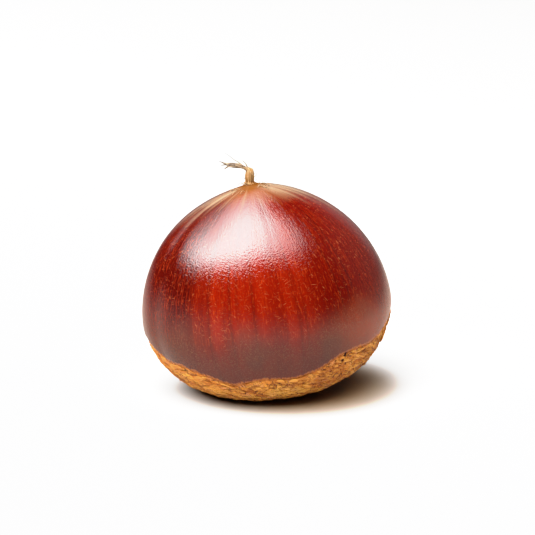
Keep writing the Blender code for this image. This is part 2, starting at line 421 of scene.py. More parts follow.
def edge_length(angle):
    """Length down the nut at which the shell ends and the scar begins."""
    angles, heights = zip(*SHELL_EDGE)
    spread = np.degrees(np.asarray(angle)[..., None] + EDGE_ROUNDING)
    height = np.interp(spread, angles, np.array(heights) * MM, period=360).mean(-1)
    length = np.interp(-height, -HEIGHT, LENGTH)
    places = np.stack([np.cos(angle), np.sin(angle)], -1) * NUT_WIDTH / 2 / EDGE_WAVER_SIZE
    waver = [noise.noise(Vector((x, y, 4.0))) for x, y in places.reshape(-1, 2)]
    return length + EDGE_WAVER * np.reshape(waver, length.shape)


def soft_noise(points, size, offset=0.0):
    """Noise from -1 to 1 at each point; size is one length or three."""
    scaled = points / size + offset
    return np.reshape([noise.noise(Vector(point)) for point in scaled.reshape(-1, 3)],
                      points.shape[:-1])


def grain_place(angle, length):
    """Where the shell's fibres run: across them, and along them, in mm."""
    angle, length = np.broadcast_arrays(angle, length)
    around = NUT_WIDTH / 2 / MM
    return np.stack([around * np.cos(angle), around * np.sin(angle), length / MM], -1)


def skin(name, rings, stored, first_pole, last_pole):
    """One closed skin over rings of points, each ring as long as the others.

    Each ring joins the next, and the first and the last close on their poles. stored
    holds a vector for each point under each name, in the rings' own order.
    """
    rings = np.asarray(rings)
    rows, columns = rings.shape[:2]
    points = np.concatenate([rings.reshape(-1, 3), [first_pole, last_pole]])
    i = np.arange(columns)
    after = (i + 1) % columns
    faces = []
    for row in range(rows - 1):
        upper, lower = row * columns, (row + 1) * columns
        faces += np.stack([upper + i, lower + i, lower + after, upper + after], -1).tolist()
    top, bottom = rows * columns, rows * columns + 1
    last = (rows - 1) * columns
    faces += [(top, a, b) for a, b in zip(i.tolist(), after.tolist())]
    faces += [(bottom, last + b, last + a) for a, b in zip(i.tolist(), after.tolist())]
    posed = points @ np.array(POSE.to_3x3()).T + np.array(POSE.translation)
    posed[:, 2] = np.maximum(posed[:, 2], 0.0)
    mesh = bpy.data.meshes.new(name)
    mesh.from_pydata(posed.tolist(), [], faces)
    for title, values in stored.items():
        values = np.asarray(values).reshape(-1, 3)
        values = np.concatenate([values, values[:1], values[-1:]])
        layer = mesh.attributes.new(title, "FLOAT_VECTOR", "POINT")
        layer.data.foreach_set("vector", values.astype(np.float32).ravel())
    mesh.shade_smooth()
    return in_scene(name, mesh)


# The shell's fine skin: its steps, ribs, lip and tuck, and the pale rays round its tip
SHELL_COLUMNS = 384
SHELL_ROWS = 150
FLARE_ROWS = 14
NECK_ROWS = 16
RIB_HEIGHT = 0.014 * MM
RIB_SIZE = np.array([1.3, 1.3, 14.0])
RIB_SINK = 1.8
RIB_FADE = 8.0 * MM
LIP_RADIUS = 0.10 * MM
LIP_ROWS = 5
TUCK_DEPTH = 1.4 * MM
PALE_RAYS = (
    # angle round the nut and half width in degrees, reach from the tip in mm, strength
    (196, 2.6, 11, 0.8), (188, 2.2, 11, 0.6), (180, 3.0, 12, 0.8), (171, 2.5, 9, 0.5),
    (206, 2.0, 9, 0.5), (194, 11.0, 7, 0.6), (324, 2.0, 9, 0.6), (336, 2.0, 10, 0.6),
    (347, 3.0, 13, 0.8), (0, 3.5, 14, 0.9), (12, 2.5, 9, 0.6), (348, 13.0, 8, 0.9), (318, 14.0, 7, 0.7),
    (222, 2.0, 7, 0.4), (250, 2.5, 6, 0.4), (60, 2.5, 8, 0.5), (95, 3.0, 7, 0.5), (130, 2.5, 8, 0.5),
)


def wrinkles(angles, share=0.0):
    """How far the neck's wrinkles stand out, that share of the way up."""
    return sum(depth * np.sin(count * angles + winding * share)
               for count, depth, winding in NECK_WRINKLES)


def neck_rings(angles):
    """The neck's rings from its top down to the last one above the crown."""
    foot = on_nut(angles, FOOT_LENGTH)
    around = np.stack([np.cos(angles), np.sin(angles), 0 * angles], -1)
    tip, upright = np.array(TIP), np.array(UPRIGHT)
    rings = []
    for row in range(NECK_ROWS, 0, -1):
        share = math.sin(math.pi / 2 * row / (NECK_ROWS + 1))
        radius = NECK_RADIUS * (1 - NECK_TAPER * share) * math.sqrt(1 - share ** 4)
        height = NECK_FLARE_TOP + (NECK_TOP - NECK_FLARE_TOP) * share
        radii = radius * (1 + wrinkles(angles, share))
        rings.append(tip + upright * height + around * radii[:, None])
    for row in range(FLARE_ROWS, 0, -1):
        share = row / FLARE_ROWS
        narrowed = (1 - share) ** FLARE_CURVE
        radii = NECK_RADIUS * (1 + share ** 2 * wrinkles(angles))
        top = tip + upright * NECK_FLARE_TOP + around * radii[:, None]
        ring = foot * narrowed + top * (1 - narrowed)
        ring[:, 2] = foot[:, 2] + (top[:, 2] - foot[:, 2]) * share
        rings.append(ring)
    return rings


def make_shell():
    """The glossy shell, from the top of its neck down to a thin lip over the scar."""
    angles = np.linspace(0, 2 * math.pi, SHELL_COLUMNS, endpoint=False)
    edge = edge_length(angles)
    neck = neck_rings(angles)
    rows = np.linspace(0, 1, SHELL_ROWS)[:, None]
    lengths = FOOT_LENGTH + (edge - LIP_RADIUS - FOOT_LENGTH) * rows
    body = on_nut(angles, lengths)
    out = outward(angles[None, :], lengths)
    ribs = soft_noise(grain_place(angles, lengths), RIB_SIZE)
    fade = np.clip((lengths - FOOT_LENGTH) / RIB_FADE, 0, 1)
    body = body + out * (RIB_HEIGHT * (ribs - RIB_SINK) * fade)[..., None]
    edge_out = outward(angles, edge)
    edge_down = on_nut(angles, edge) - on_nut(angles, edge - LIP_RADIUS)
    edge_down /= np.linalg.norm(edge_down, axis=-1, keepdims=True)
    lip_start = body[-1]
    lip = []
    for row in range(1, LIP_ROWS + 1):
        roll = math.pi * row / LIP_ROWS
        lip.append(lip_start + edge_down * LIP_RADIUS * math.sin(roll)
                   - edge_out * LIP_RADIUS * (1 - math.cos(roll)))
    lip.append(lip[-1] - edge_out * TUCK_DEPTH)
    rings = np.concatenate([neck, body, lip])
    above = np.linspace(-(NECK_TOP - NECK_FLARE_TOP) - FOOT_LENGTH, 0, len(neck) + 1)[:-1]
    from_tip = np.concatenate([np.repeat(above[:, None] + FOOT_LENGTH, SHELL_COLUMNS, 1), lengths,
                               np.repeat(edge[None, :], len(lip), 0)])
    above_edge = edge - from_tip
    rays = 0
    for turn, width, reach, strength in PALE_RAYS:
        away = np.degrees(turned_from(angles, math.radians(turn))) / width
        fade = np.clip(2 - 2 * from_tip / MM / reach, 0, 1)
        rays = rays + strength * np.exp(-away ** 2) * fade
    stored = {
        "grain": grain_place(angles, from_tip),
        "zone": np.stack([from_tip / MM, above_edge / MM, rays], -1),
    }
    top = np.array(TIP + UPRIGHT * NECK_TOP)
    inner = rings[-1].mean(0)
    return skin("shell", rings, stored, top, inner)


# Dark lines down the shell: those near 300 degrees are painted shade of its ribs, the others darker
# streaks
DARK_LINES_AND_RIB_SHADE = (
    # angle round the nut and half width in degrees, strength
    (234.5, 1.0, 0.7), (245.0, 0.8, 0.6), (256.0, 0.8, 0.5), (299.2, 0.7, 0.7), (304.2, 0.6, 0.7),
    (307.8, 0.8, 0.6), (211.0, 1.0, 0.5), (276.0, 0.6, 0.4),
)


# Steps of the scar's fine skin, and its fine relief
SCAR_COLUMNS = 540
SCAR_ROWS = 110
FISSURES = (
    # depth and size in metres, how far drawn out along the edge, sharpness, offset
    (0.12 * MM, 0.9 * MM, 2.6, 5.0, 7.0),
    (0.08 * MM, 0.45 * MM, 3.0, 4.0, 19.0),
)
GRAIN_HEIGHT = 0.05 * MM
GRAIN_SIZE = 0.30 * MM
SLIT = ((math.radians(300.0), 7.7 * MM), (math.radians(298.2), 6.0 * MM))
SLIT_WIDTH = 0.21 * MM
SLIT_DEPTH = 0.45 * MM
SCAR_RIM = (
    # how far back from the shell's edge, and how deep under it
    (1.2 * MM, 1.5 * MM), (0.5 * MM, 0.6 * MM), (0.1 * MM, 0.28 * MM),
)


def drawn_out(points, size, stretch):
    """The points in steps of a size that is stretched level round the nut."""
    return points / np.array([size * stretch, size * stretch, size])


def scar_relief(points):
    """How far the scar stands out from the smooth nut: its form, and all with the fine relief."""
    lump = soft_noise(points, LUMP_SIZE)
    ridge = np.abs(soft_noise(drawn_out(points, CREASE_SIZE, CREASE_STRETCH), 1.0))
    crease = 1 - CREASE_SHARPNESS * ridge
    form = LUMP_HEIGHT * lump - CREASE_DEPTH * np.clip(crease, 0, 1) - SCAR_SINK
    relief = form.copy()
    for depth, size, stretch, sharpness, offset in FISSURES:
        ridge = np.abs(soft_noise(drawn_out(points, size, stretch), 1.0, offset))
        relief -= depth * np.clip(1 - sharpness * ridge, 0, 1)
    relief += GRAIN_HEIGHT * soft_noise(points, GRAIN_SIZE)
    return form, relief


def slit_share(points):
    """1 in the slit that crosses the scar below the shell's edge, fading to 0 beside it."""
    ends = [on_nut(np.array(angle), np.interp(-height, -HEIGHT, LENGTH)) for angle, height in SLIT]
    along = ends[1] - ends[0]
    share = np.clip(((points - ends[0]) @ along) / (along @ along), 0, 1)
    away = np.linalg.norm(points - ends[0] - share[..., None] * along, axis=-1)
    width = SLIT_WIDTH * np.sqrt(np.clip(4 * share * (1 - share), 0, 1) + 0.05)
    return np.exp(-(away / width) ** 2)


def make_scar():
    """The rough scar that covers the base, tucked under the shell's lip."""
    angles = np.linspace(0, 2 * math.pi, SCAR_COLUMNS, endpoint=False)
    edge = edge_length(angles)
    start = edge + GROOVE_START
    rows = np.linspace(0, 1, SCAR_ROWS, endpoint=False)[:, None]
    lengths = start + (BASE_LENGTH - start) * rows
    down = lengths - start
    smooth = on_nut(angles, lengths)
    out = outward(angles[None, :], lengths)
    form, relief = scar_relief(smooth)
    fade = np.minimum(1.0, down / RELIEF_FADE)
    groove = GROOVE_DEPTH * np.exp(-(down / GROOVE_WIDTH) ** 2)
    slit = slit_share(smooth)
    height = relief * fade - groove - SLIT_DEPTH * slit
    body = smooth + out * height[..., None]
    rim = []
    rim_out = outward(angles, edge)
    for back, depth in SCAR_RIM:
        rim.append(on_nut(angles, edge - back) - rim_out * depth)
    rings = np.concatenate([rim, body])
    length = np.concatenate([np.repeat(edge[None, :], len(rim), 0), lengths])
    depth = np.concatenate([np.zeros((len(rim), SCAR_COLUMNS)), down])
    raised = np.concatenate([np.zeros((len(rim), SCAR_COLUMNS)), (relief - 0.5 * form) * fade])
    cut = np.concatenate([np.zeros((len(rim), SCAR_COLUMNS)), slit])
    stored = {
        "grain": grain_place(angles, length),
        "zone": np.stack([depth / MM, raised / MM, cut], -1),
    }
    base = on_nut(np.array(0.0), np.array(BASE_LENGTH))
    return skin("base_scar", rings, stored, rings[0].mean(0), base)


# The dried flower remains, from the tip of the crown as the nut lies, in mm
BUNDLE = (
    (-0.1, 0.0, 1.53), (-0.55, 0.0, 2.11), (-1.2, 0.0, 2.45), (-2.1, 0.0, 2.59), (-3.2, 0.0, 2.67),
)
BUNDLE_RADIUS = 0.34
BUNDLE_STRANDS = 14
STRAND_RADIUS = 0.10
STRAND_SWAY = 0.07 * MM
NECK_STRANDS = 21
NECK_STRAND_FOOT = 0.07
NECK_STRAND_TOP = 0.10
NECK_STRAND_STEPS = (0.42, 0.6, 0.8)
FORKS = (
    # path, radius at the root, radius at the end
    (((-3.0, 0.0, 2.73), (-3.7, 0.0, 2.95), (-4.3, 0.0, 3.21)), 0.19, 0.05),
    (((-2.9, 0.0, 2.58), (-3.2, 0.0, 2.33), (-3.55, 0.0, 2.05)), 0.19, 0.08),
    (((-3.0, 0.0, 2.68), (-3.6, 0.12, 2.63), (-4.0, 0.2, 2.51)), 0.15, 0.05),
)
HAIRS = (
    # path, radius at the root, radius at the end
    (((-0.7, 0.0, 2.28), (-1.5, 0.1, 2.99), (-2.2, 0.2, 3.38), (-2.8, 0.3, 3.85), (-3.5, 0.3, 4.33)),
     0.12, 0.03),
    (((-0.1, 0.0, 1.63), (-0.35, -0.1, 2.43), (-0.65, -0.1, 2.98), (-1.0, 0.0, 3.29)), 0.15, 0.05),
    (((0.0, 0.0, 0.43), (-0.4, 0.0, 0.55), (-0.78, 0.0, 0.73)), 0.17, 0.07),
)


def smooth_path(points, pieces=5):
    """Points along a smooth curve through the given ones."""
    points = [Vector(point) * MM for point in points]
    ends = [points[0] * 2 - points[1], *points, points[-1] * 2 - points[-2]]
    path = []
    for before, start, end, after in zip(ends, ends[1:], ends[2:], ends[3:]):
        for k in range(pieces):
            share = k / pieces
            path.append(0.5 * (2 * start + (end - before) * share
                               + (2 * before - 5 * start + 4 * end - after) * share ** 2
                               + (3 * start - before - 3 * end + after) * share ** 3))
    return path + [points[-1]]


def strand(path, root, end, sides=8, tones=(0.0, 1.0)):
    """Points and faces of a tapered closed strand along a path, and the tone at each point."""
    points, faces, shares = [], [], []
    for i, place in enumerate(path):
        share = i / (len(path) - 1)
        ahead = (path[min(i + 1, len(path) - 1)] - path[max(i - 1, 0)]).normalized()
        side = ahead.cross(Vector((0, 1, 0))).normalized()
        other = ahead.cross(side)
        radius = (root + (end - root) * share) * MM
        for k in range(sides):
            turn = 2 * math.pi * k / sides
            points.append(place + (side * math.cos(turn) + other * math.sin(turn)) * radius)
            shares.append(tones[0] + (tones[1] - tones[0]) * share)
    count = len(path)
    for i in range(count - 1):
        for k in range(sides):
            after = (k + 1) % sides
            faces.append((i * sides + k, i * sides + after,
                          (i + 1) * sides + after, (i + 1) * sides + k))
    faces.append(tuple(range(sides))[::-1])
    faces.append(tuple((count - 1) * sides + k for k in range(sides)))
    return points, faces, shares


def join_strands(name, strands):
    """One piece of several strands, with the share along each stored."""
    points, faces, shares = [], [], []
    for some_points, some_faces, some_shares in strands:
        faces += [tuple(corner + len(points) for corner in face) for face in some_faces]
        points += some_points
        shares += some_shares
    tip = POSE @ TIP
    mesh = bpy.data.meshes.new(name)
    mesh.from_pydata([tip + point for point in points], [], faces)
    layer = mesh.attributes.new("zone", "FLOAT_VECTOR", "POINT")
    layer.data.foreach_set("vector", [number for share in shares for number in (share, 0.0, 0.0)])
    mesh.shade_smooth()
    return in_scene(name, mesh)


def make_tuft():
    """The bent bundle of dried styles, its forked ends, and fibres up the neck into it."""
    path = smooth_path(BUNDLE)
    strands = [strand(path, BUNDLE_RADIUS * 0.4, BUNDLE_RADIUS * 0.9, 12, (0.3, 0.9))]
    for k in range(BUNDLE_STRANDS):
        turn = 2 * math.pi * k / BUNDLE_STRANDS
        offset = Vector((0, math.cos(turn), math.sin(turn))) * BUNDLE_RADIUS * MM
        moved = [place + offset * (0.35 + 0.55 * i / len(path))
                 + Vector((0, math.sin(i * 0.9 + k), math.cos(i * 0.7 + 2 * k))) * STRAND_SWAY
                 for i, place in enumerate(path)]
        shortened = moved[: len(moved) - k % 4]
        strands.append(strand(shortened, STRAND_RADIUS * 0.7, STRAND_RADIUS, 8, (0.3, 0.9)))
    foot = on_nut(0.0, FOOT_LENGTH)[2] / MM - TIP.z / MM
    top = NECK_FLARE_TOP / MM
    for k in range(NECK_STRANDS):
        turn = 2 * math.pi * (k + 0.3 * math.sin(5 * k)) / NECK_STRANDS
        side = Vector((math.cos(turn), math.sin(turn), 0))
        ring = []
        for share in NECK_STRAND_STEPS:
            out = NECK_RADIUS + (NECK_FOOT_RADIUS - NECK_RADIUS) * (1 - share) ** FLARE_CURVE
            ring.append((out / MM - 0.06, foot + (top - foot) * share))
        ring += [(0.54, 1.1), (0.47, 1.6 + 0.1 * math.sin(3 * k)), (0.32, 1.95 + 0.15 * math.cos(2 * k))]
        path_up = []
        for out, up in ring:
            sway = Vector((0.05 * math.sin(k + up), 0.05 * math.cos(2 * k + up), up))
            path_up.append(tuple(side * out + sway))
        path_up.append((-0.45 - 0.1 * math.sin(k), 0.18 * math.cos(turn), 2.2 + 0.1 * math.cos(k)))
        strands.append(strand(smooth_path(path_up), NECK_STRAND_FOOT, NECK_STRAND_TOP, 8, (0.0, 0.3)))
    strands += [strand(smooth_path(points), root, end, 8, (0.9, 1.3)) for points, root, end in FORKS]
    return join_strands("dry_tuft", strands)


def make_hairs():
    """The single pale hairs that stand off the neck and the bundle."""
    return join_strands("pale_hairs", [strand(smooth_path(points), root, end)
                                       for points, root, end in HAIRS])


# The scar's flakes: how many on a square metre, and in metres their sizes, how far their
# corners wander, how deep they sink, and how far they lift to fill the groove along the edge
FLAKES = {"Density": 1.3e6, "Length": 0.60 * MM, "Width": 0.25 * MM, "Thickness": 0.10 * MM,
          "Ragged": 0.09 * MM, "Sink": 0.03 * MM, "Lift": 0.13 * MM}
RAGGED_SIZE = 0.35 * MM

# Radii of an ellipsoid close to the nut's lower half, whose normals the flakes follow
NUT_RADII = (NUT_WIDTH / 2, (FRONT_DEPTH + BACK_DEPTH) / 2, CENTRE.z)


def make_flakes(scar, finish):
    """Thin ragged flakes of the scar's skin, lying along its edge."""
    tree = Growth("flakes", FLAKES)
    down, _, cut = tree.zone()
    place = tree.node("GeometryNodeInputPosition").outputs[0]
    x, y, z = tree.axes(place)
    band = down.ramp(0.0, 0.10) * down.ramp(9.0, 7.0)
    here = band * z.ramp(0.4 * MM, 0.8 * MM) * cut.ramp(0.010, 0.002)
    points, _ = tree.scatter(tree.size("Density"), here, 5)
    out = [(number - centre) / radius ** 2 for number, centre, radius
           in zip((x, y, z), CENTRE, NUT_RADII)]
    normal = tree.node("ShaderNodeVectorMath", {"operation": "NORMALIZE"},
                       {0: tree.vector(*out)}).outputs[0]
    along = tree.vector(y * -1.0, x, tree.random(-0.006, 0.008, 3))
    lift = down.ramp(1.3, 0.2) * x.ramp(17.2 * MM, 16.2 * MM) * tree.size("Lift")
    raised = tree.node("ShaderNodeVectorMath", {"operation": "SCALE"},
                       {0: normal, "Scale": lift - tree.size("Sink")}).outputs[0]
    points = tree.node("GeometryNodeSetPosition", None,
                       {"Geometry": points, "Offset": raised}).outputs[0]
    prism = tree.node("GeometryNodeMeshCylinder", None,
                      {"Vertices": 7, "Radius": 1.0, "Depth": 1.0}).outputs[0]
    swell = tree.random(0.45, 1.25, 1)
    width = tree.size("Width") * tree.random(0.6, 1.3, 2) * swell
    scale = tree.vector(tree.size("Length") * swell, width, tree.size("Thickness"))
    flakes = tree.place(points, prism, tree.turned(along, normal), scale, tree.random(0.0, 1.0, 4))
    noise_at = tree.node("ShaderNodeTexNoise", None,
                         {"Vector": place, "Scale": 1 / RAGGED_SIZE, "Detail": 1.0})
    centred = tree.node("ShaderNodeVectorMath", {"operation": "SUBTRACT"},
                        {0: noise_at.outputs["Color"], 1: (0.5, 0.5, 0.5)}).outputs[0]
    offset = tree.node("ShaderNodeVectorMath", {"operation": "SCALE"},
                       {0: centred, "Scale": tree.size("Ragged") * 2.0}).outputs[0]
    flakes = tree.node("GeometryNodeSetPosition", None,
                       {"Geometry": flakes, "Offset": offset}).outputs[0]
    return tree.grown("scar_flakes", scar, flakes, finish)


# The short hairs: how many on a square metre, and in metres their length and thickness
BRISTLES = {"Density": 2.2e6, "Length": 0.9 * MM, "Thickness": 0.03 * MM}


def make_bristles(shell, finish):
    """Short curled hairs that stand round the foot of the neck."""
    tree = Growth("bristles", BRISTLES)
    from_tip, _, _ = tree.zone()
    place = tree.node("GeometryNodeInputPosition").outputs[0]
    here = from_tip.ramp(-0.6, -0.4) * from_tip.ramp(2.6, 2.2)
    points, normal = tree.scatter(tree.size("Density"), here, 8)
    out = tree.node("ShaderNodeVectorMath", {"operation": "SUBTRACT"},
                    {0: place, 1: tuple(POSE @ TIP)}).outputs[0]
    swirl = tree.vector(tree.random(-0.002, 0.002, 3), tree.random(-0.002, 0.002, 4), 0.0)
    along = tree.node("ShaderNodeVectorMath", {"operation": "ADD"}, {0: out, 1: swirl}).outputs[0]
    bow = tree.node("GeometryNodeCurveQuadraticBezier", None,
                    {"Resolution": 6, "Start": (0, 0, -0.05), "Middle": (0.6, 0.15, 0.75),
                     "End": (1.0, 0, 0.1)}).outputs[0]
    share = tree.number("GeometryNodeSplineParameter")
    tapered = tree.node("GeometryNodeSetCurveRadius", None,
                        {"Curve": bow, "Radius": share * -0.7 + 1.0}).outputs[0]
    ring = tree.node("GeometryNodeCurvePrimitiveCircle", None,
                     {"Resolution": 4, "Radius": tree.size("Thickness") / tree.size("Length")}).outputs[0]
    hair = tree.node("GeometryNodeCurveToMesh", None,
                     {"Curve": tapered, "Profile Curve": ring, "Fill Caps": True}).outputs[0]
    swell = tree.size("Length") * tree.random(0.5, 1.3, 1)
    hairs = tree.place(points, hair, tree.turned(along, normal), tree.vector(swell, swell, swell),
                       tree.random(0.0, 1.0, 2))
    return tree.grown("tip_bristles", shell, hairs, finish)


# Two wide patches that tint the scar's front: place and radii in mm, and colour; the first, golden, is
# painted light where the scar turns under towards the floor, the second a darker red
SCAR_PATCHES_AND_PAINTED_LIGHT = (
    # painted light: golden, low at the front
    ((2.4, -8.6, 3.0), (3.6, 4.0, 1.5), (0.66, 0.36, 0.060)),
    ((8.6, -7.6, 4.6), (3.6, 4.0, 2.4), (0.27, 0.060, 0.006)),
)


def patched(coat, place, ochre, share):
    """The scar's colour with its two wide patches mixed in, the golden one painted light."""
    for middle, radii, tint in SCAR_PATCHES_AND_PAINTED_LIGHT:
        away = coat.stretched(place, [radius * MM for radius in radii])
        away = coat.node("ShaderNodeVectorMath", {"operation": "SUBTRACT"},
                         {0: away, 1: tuple(a / b for a, b in zip(middle, radii))}).outputs[0]
        away = coat.number("ShaderNodeVectorMath", {"operation": "LENGTH"}, {0: away}, "Value")
        ochre = coat.mix(away.ramp(1.1, 0.4) * share, ochre, tint)
    return ochre


# The flakes' colours
FLAKE_DARK = (0.32, 0.085, 0.007)
FLAKE_PALE = (0.55, 0.235, 0.034)
FLAKE_YELLOW = (0.62, 0.31, 0.055)
FLAKE_FIBRE = (0.20, 0.045, 0.006)


def flake_finish():
    """The scar's ochre, each flake of its own tint, with the scar's patches, the golden one painted
    light.
    """
    coat = Finish("scar_flakes")
    place = coat.place()
    tint = coat.number("ShaderNodeAttribute", {"attribute_name": "tint"}, None, "Fac")
    fibres = coat.noise(place, (0.7 * MM, 0.7 * MM, 0.12 * MM), 2.0)
    mottle = coat.noise(place, (1.8 * MM, 1.8 * MM, 1.1 * MM), 2.0)
    ochre = coat.mix(tint, FLAKE_DARK, FLAKE_PALE)
    ochre = coat.mix(mottle.ramp(0.40, 0.65) * 0.4, ochre, FLAKE_YELLOW)
    ochre = patched(coat, place, ochre, 0.5)
    ochre = coat.mix(fibres.ramp(0.48, 0.30) * 0.5, ochre, FLAKE_FIBRE)
    normal = coat.bump(fibres, 0.05 * MM)
    return coat.finish(Base_Color=ochre, Roughness=0.7, Normal=normal, IOR=1.3)


# The short hairs' colours
BRISTLE_BROWN = (0.13, 0.055, 0.014)
BRISTLE_PALE = (0.26, 0.18, 0.09)
BRISTLE_SPOT = (0.10, 0.045, 0.015)


def bristle_finish():
    """Pale straw, each hair of its own tint."""
    coat = Finish("tip_bristles")
    tint = coat.number("ShaderNodeAttribute", {"attribute_name": "tint"}, None, "Fac")
    fibre = coat.noise(coat.place(), (0.2 * MM,) * 3, 1.0)
    straw = coat.mix(tint, BRISTLE_BROWN, BRISTLE_PALE)
    straw = coat.mix(fibre.ramp(0.55, 0.70) * 0.5, straw, BRISTLE_SPOT)
    return coat.finish(Base_Color=straw, Roughness=0.6, Normal=coat.bump(fibre, 0.02 * MM))


# The shell's colours, and how its scratches slant, in degrees
RED = (0.076, 0.0018, 0.0003)
BRIGHT_RED = (0.110, 0.0036, 0.0003)
# Painted shade of the right flank, and of the darker left flank
RIGHT_FLANK_PAINTED_SHADE = (0.054, 0.0010, 0.0003)
LEFT_FLANK_PAINTED_SHADE = (0.026, 0.0005, 0.0002)
STREAK = (0.042, 0.0014, 0.0005)
FINE_STREAK = (0.135, 0.0090, 0.0010)
DARK_LINE = (0.028, 0.0015, 0.0008)
STROKE = (0.180, 0.0180, 0.0030)
SCRATCH = (0.22, 0.060, 0.022)
LOW_RED = (0.046, 0.0025, 0.0012)
DULL = (0.070, 0.0175, 0.0085)
DULL_RIGHT = (0.240, 0.040, 0.0125)
DULL_PATCH = (0.040, 0.016, 0.0105)
DUST = (0.098, 0.042, 0.018)
# Painted: a darker red for the crown where the softbox's highlight falls
CROWN_RED_UNDER_HIGHLIGHT = (0.045, 0.004, 0.002)
CROWN_TAN = (0.110, 0.036, 0.0095)
PALE_RAY = (0.155, 0.108, 0.062)
FOOT_BROWN = (0.084, 0.026, 0.0022)
NECK_STRAW = (0.19, 0.085, 0.018)
RIM_ORANGE = (0.32, 0.090, 0.014)
SCRATCH_SLANTS = (-50, -8, 32)


def shell_finish():
    """Glossy red-brown with darker streaks, tan rays round the tip and a dull band below; painted shade
    darkens its flanks and lines along its ribs, and a darker red is painted on the crown where the
    highlight falls.
    """
    coat = Finish("shell")
    grain, (across, forth, _) = coat.attribute("grain")
    _, (from_tip, above_edge, rays) = coat.attribute("zone")
    place = coat.place()
    broad = coat.noise(grain, (3.0, 3.0, 30.0), 2.0)
    streaks = coat.noise(grain, (0.75, 0.75, 16.0), 3.0, 0.6)
    fine_streaks = coat.noise(grain, (0.30, 0.30, 5.0), 2.0)
    strokes = coat.noise(grain, (0.16, 0.16, 0.9), 1.0)
    patches = coat.noise(grain, (7.0, 7.0, 9.0), 2.0)
    red = coat.mix(broad.ramp(0.35, 0.65), RED, BRIGHT_RED)
    swayed = across + (broad - 0.5) * 5.0
    # Painted shade: darker red on the right flank, and darker still on the left one
    red = coat.mix(swayed.ramp(2.5, 7.5) * 0.9, red, RIGHT_FLANK_PAINTED_SHADE)
    red = coat.mix(swayed.ramp(-8.5, -14.0) * 0.9, red, LEFT_FLANK_PAINTED_SHADE)
    red = coat.mix(streaks.ramp(0.52, 0.34) * patches.ramp(0.3, 0.6) * 0.45, red, STREAK)
    red = coat.mix(fine_streaks.ramp(0.5, 0.75) * 0.32, red, FINE_STREAK)
    turn = forth.math("ARCTAN2", across) + (broad - 0.5) * 0.03
    # Dark lines, those near 300 degrees painted shade of the ribs
    for degrees, width, strength in DARK_LINES_AND_RIB_SHADE:
        away = (turn - (math.radians(degrees) - 2 * math.pi)) / math.radians(width)
        line = (away * away * -1.0).math("EXPONENT") * (from_tip + streaks * 4.0).ramp(6.0, 11.0)
        red = coat.mix(line * strength * 0.7, red, DARK_LINE)
    red = coat.mix(strokes.ramp(0.58, 0.72) * 0.5, red, STROKE)
    for slant in SCRATCH_SLANTS:
        tilted = coat.node("ShaderNodeVectorRotate", {"rotation_type": "Y_AXIS"},
                           {"Vector": place, "Angle": math.radians(slant)}).outputs[0]
        scratches = coat.noise(tilted, (0.8 * MM, 0.5 * MM, 0.085 * MM), 0.0)
        red = coat.mix(scratches.ramp(0.74, 0.86) * 0.5, red, SCRATCH)
    flat = forth.ramp(-6.0, -15.0) * 3.0
    dull = (above_edge - flat + (patches - 0.5) * 6.0 + (streaks - 0.5) * 1.5).ramp(7.0, -1.0)
    low = (above_edge + (patches - 0.5) * 5.0).ramp(10.0, 4.0)
    red = coat.mix(low * 0.45, red, LOW_RED)
    pinker = coat.mix(across.ramp(4.0, 14.0), DULL, DULL_RIGHT)
    red = coat.mix(dull * 0.57, red, pinker)
    red = coat.mix(dull * patches.ramp(0.52, 0.36) * 0.40, red, DULL_PATCH)
    dust = coat.noise(place, (0.16 * MM,) * 3, 2.0)
    red = coat.mix(dust.ramp(0.50, 0.68) * dull.ramp(0.1, 0.8) * 0.5, red, DUST)
    # Painted: a darker red on the crown where the softbox's highlight falls, so that the highlight shows
    # whiter
    crown = from_tip.ramp(13.0, 8.0) * swayed.ramp(5.0, 1.0)
    red = coat.mix(crown * 0.5, red, CROWN_RED_UNDER_HIGHLIGHT)
    reach = from_tip + (fine_streaks - 0.5) * 4.0 + (streaks - 0.5) * 6.0
    red = coat.mix(reach.ramp(7.0, 2.5) * 0.8, red, CROWN_TAN)
    ray = (rays + (fine_streaks - 0.5) * rays * 2.5).clamped()
    red = coat.mix(ray * 0.9, red, PALE_RAY)
    frayed = from_tip + (fine_streaks - 0.5) * 2.0
    red = coat.mix(frayed.ramp(2.7, 1.4), red, FOOT_BROWN)
    red = coat.mix(from_tip.ramp(0.5, -0.5), red, NECK_STRAW)
    rim = (above_edge + (fine_streaks - 0.5) * 0.9).ramp(0.5, 0.1)
    red = coat.mix(rim * 0.8, red, RIM_ORANGE)
    grit = coat.noise(place, (0.20 * MM,) * 3, 1.0)
    normal = coat.bump(grit, 0.034 * MM)
    normal = coat.bump(fine_streaks, 0.02 * MM, normal)
    roughness = patches * 0.03 + 0.07 + from_tip.ramp(4.0, 0.0) * 0.15 + dull * 0.08
    coat.matt(frayed.ramp(2.4, 1.3) * 0.9, red)
    return coat.finish(Base_Color=red, Roughness=roughness, Normal=normal, IOR=1.45)


# The scar's colours, and how its fibres slant
OCHRE = (0.42, 0.120, 0.009)
PALE_OCHRE = (0.53, 0.19, 0.020)
SCAR_YELLOW = (0.68, 0.34, 0.050)
SCAR_PINK = (0.56, 0.23, 0.095)
SCAR_FIBRE = (0.27, 0.062, 0.006)
SCAR_HOLLOW_PAINTED_SHADE = (0.20, 0.042, 0.004)
SCAR_CRACK = (0.07, 0.013, 0.003)
SCAR_EDGE = (0.32, 0.080, 0.008)
SCAR_SLIT_PAINTED_SHADE = (0.04, 0.008, 0.004)
SCAR_SLANT = math.radians(-24)


